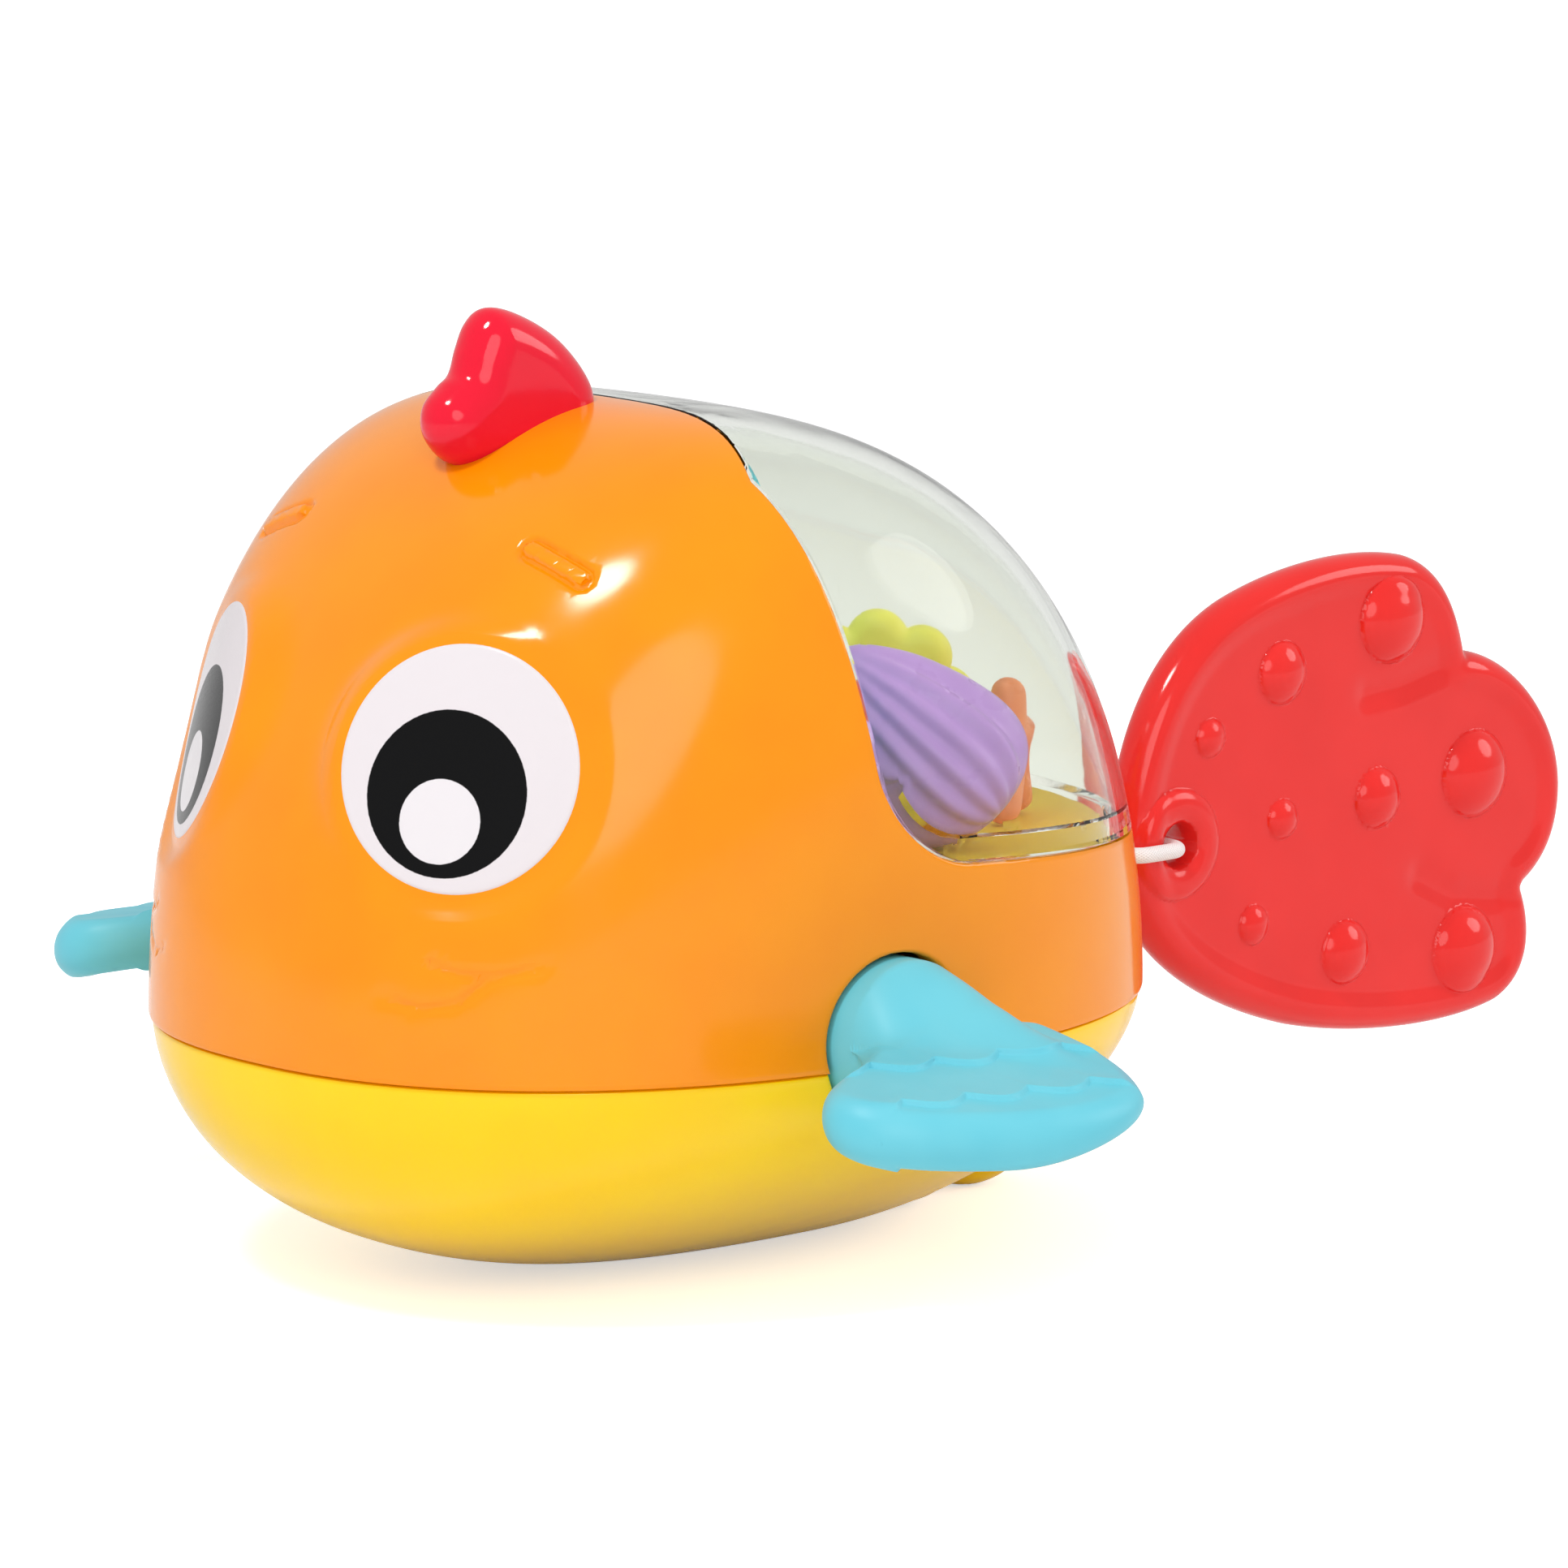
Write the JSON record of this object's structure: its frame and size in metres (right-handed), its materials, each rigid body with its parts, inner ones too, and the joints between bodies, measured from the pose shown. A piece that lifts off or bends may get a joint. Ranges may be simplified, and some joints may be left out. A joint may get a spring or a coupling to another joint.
{
  "type": "swimming fish bath toy",
  "caption": "Floating fish with a clear domed back, a pull cord tail and paddle fins driven through a spool, a spiral spring and a gear pair.",
  "frame": {"origin": "on the flat of the hull's belly, in the plane of symmetry and below the middle of the body", "axes": "nose toward -X, tail toward +X, the fish's left side toward -Y, up +Z"},
  "size_m": [0.233, 0.1822, 0.123],
  "materials": {
    "orange_shell": "gloss",
    "yellow_hull": "gloss",
    "teal_plastic": "satin",
    "red_plastic": "gloss",
    "clear_dome": "clear",
    "eye_print": "printed",
    "purple_plastic": "gloss",
    "salmon_plastic": "gloss",
    "steel": "drawn",
    "natural_plastic": "moulded",
    "white_cord": "braided"
  },
  "bodies": {
    "body": {"upper_shell": "orange_shell", "lower_hull": "yellow_hull", "window_dome": "clear_dome", "compartment_wall": "teal_plastic", "compartment_tray": "yellow_hull", "left_eye": "eye_print", "right_eye": "eye_print", "crest": "red_plastic", "cord_bush": "natural_plastic", "mainspring": "steel", "spring_drum": "natural_plastic", "gearbox_left": "natural_plastic", "gearbox_right": "natural_plastic", "left_axle_bush": "steel", "right_axle_bush": "steel", "gearbox_screw_1": "steel", "gearbox_screw_2": "steel", "gearbox_screw_3": "steel", "gearbox_screw_4": "steel", "foot_screw_1": "steel", "foot_screw_2": "steel", "foot_screw_3": "steel", "foot_screw_4": "steel"},
    "tail": {"tail_paddle": "red_plastic", "cord_loop": "white_cord", "pull_cord": "white_cord"},
    "spool": {"cord_spool": "natural_plastic", "spool_gear": "natural_plastic", "spool_shaft": "steel", "cord_winding": "white_cord"},
    "fins": {"fin_axle": "steel", "left_fin": "teal_plastic", "right_fin": "teal_plastic", "axle_pinion": "natural_plastic"},
    "scallop": {"scallop_rattle": "purple_plastic"},
    "starfish": {"starfish_rattle": "salmon_plastic"},
    "anemone": {"anemone_rattle": "yellow_hull"}
  },
  "joints": [
    {"name": "tail_pull", "type": "slide", "parent": "body", "child": "tail", "axis": [1, 0, 0], "range_m": [0, 0.2], "stiffness_N_per_m": 8},
    {"name": "spool_spin", "type": "hinge", "parent": "body", "child": "spool", "pos_m": [0.0171, 0, 0.0294], "axis": [0, 1, 0], "range_deg": [-5, 960]},
    {"name": "fin_spin", "type": "hinge", "parent": "body", "child": "fins", "pos_m": [-0.006, 0, 0.0359], "axis": [0, 1, 0], "range_deg": [-1920, 10]},
    {"name": "scallop_hop", "type": "slide", "parent": "body", "child": "scallop", "axis": [0, 0, 1], "range_m": [0, 0.008]},
    {"name": "starfish_hop", "type": "slide", "parent": "body", "child": "starfish", "axis": [0, 0, 1], "range_m": [0, 0.005]},
    {"name": "anemone_hop", "type": "slide", "parent": "body", "child": "anemone", "axis": [0, 0, 1], "range_m": [0, 0.008]}
  ],
  "couplings": [
    {"joint": "spool_spin", "follows": "tail_pull", "rad_per_m": 83.333},
    {"joint": "fin_spin", "follows": "tail_pull", "rad_per_m": -166.67}
  ]
}
